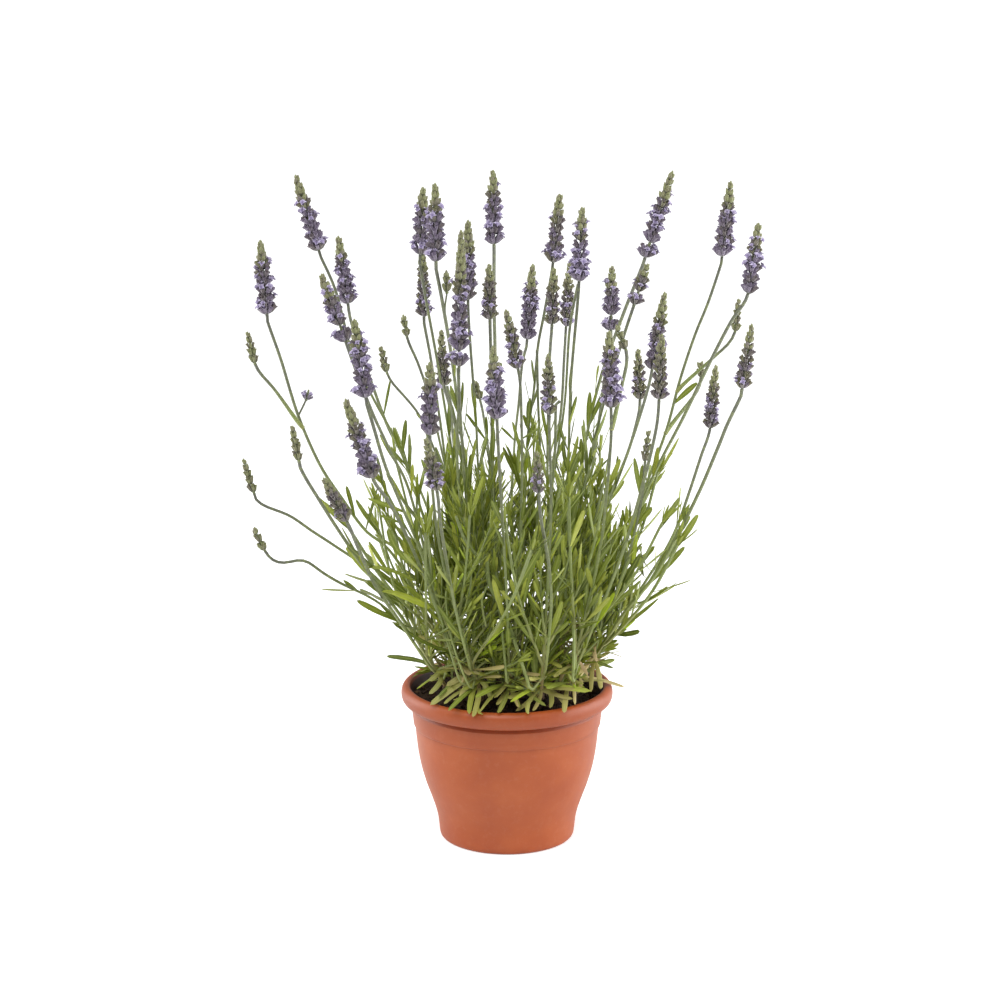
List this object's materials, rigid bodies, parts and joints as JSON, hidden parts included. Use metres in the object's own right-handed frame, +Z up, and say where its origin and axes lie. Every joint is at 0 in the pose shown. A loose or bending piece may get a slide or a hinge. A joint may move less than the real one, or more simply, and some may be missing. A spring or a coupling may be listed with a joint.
{
  "type": "potted lavender",
  "caption": "Bushy lavender plant in a round terracotta-coloured nursery pot, with narrow grey-green leaves and purple flower spikes on long thin stalks.",
  "frame": {"origin": "centre of the flat underside of the pot, on the surface it stands on", "axes": "+Z up, -Y towards the viewer of the reference view, +X to the viewer's right"},
  "size_m": [0.4551, 0.3944, 0.604],
  "materials": {
    "pot": "terracotta-coloured moulded polypropylene, satin",
    "soil": "dark moist potting soil with bits of bark",
    "wood": "brown peeling bark of old lavender wood",
    "green": "grey-green downy leaves and square stems",
    "flower": "dusky purple downy calyces with pale violet florets"
  },
  "bodies": {
    "root": {"pot": "pot", "soil": "soil", "crown": "wood", "sprig_left_high": "green", "sprig_left_back": "green", "sprig_left_low": "green", "sprig_left_front": "green", "sprig_left_wide": "green", "sprig_middle_left": "green", "sprig_back_left": "green", "sprig_middle_front_left": "green", "sprig_front_left": "green", "sprig_middle": "green", "sprig_front": "green", "sprig_back": "green", "sprig_middle_right": "green", "sprig_front_right": "green", "sprig_back_right": "green", "sprig_right_front": "green", "sprig_right": "green", "sprig_right_wide": "green", "sprig_right_low": "green", "head_left_high_1": "flower", "head_left_high_2": "flower", "head_left_back_1": "flower", "head_left_back_2": "flower", "head_left_front_1": "flower", "head_left_front_2": "flower", "head_left_wide_1": "flower", "head_middle_left_1": "flower", "head_back_left_1": "flower", "head_back_left_2": "flower", "head_middle_front_left_1": "flower", "head_middle_front_left_2": "flower", "head_front_left_1": "flower", "head_front_left_2": "flower", "head_middle_1": "flower", "head_middle_2": "flower", "head_middle_3": "flower", "head_front_1": "flower", "head_front_2": "flower", "head_back_1": "flower", "head_back_2": "flower", "head_back_3": "flower", "head_middle_right_1": "flower", "head_middle_right_2": "flower", "head_front_right_1": "flower", "head_front_right_2": "flower", "head_back_right_1": "flower", "head_back_right_2": "flower", "head_back_right_3": "flower", "head_right_front_1": "flower", "head_right_front_2": "flower", "head_right_1": "flower", "head_right_2": "flower", "head_right_wide_1": "flower", "head_right_wide_2": "flower", "head_right_low_1": "flower", "head_right_low_2": "flower"}
  },
  "joints": []
}
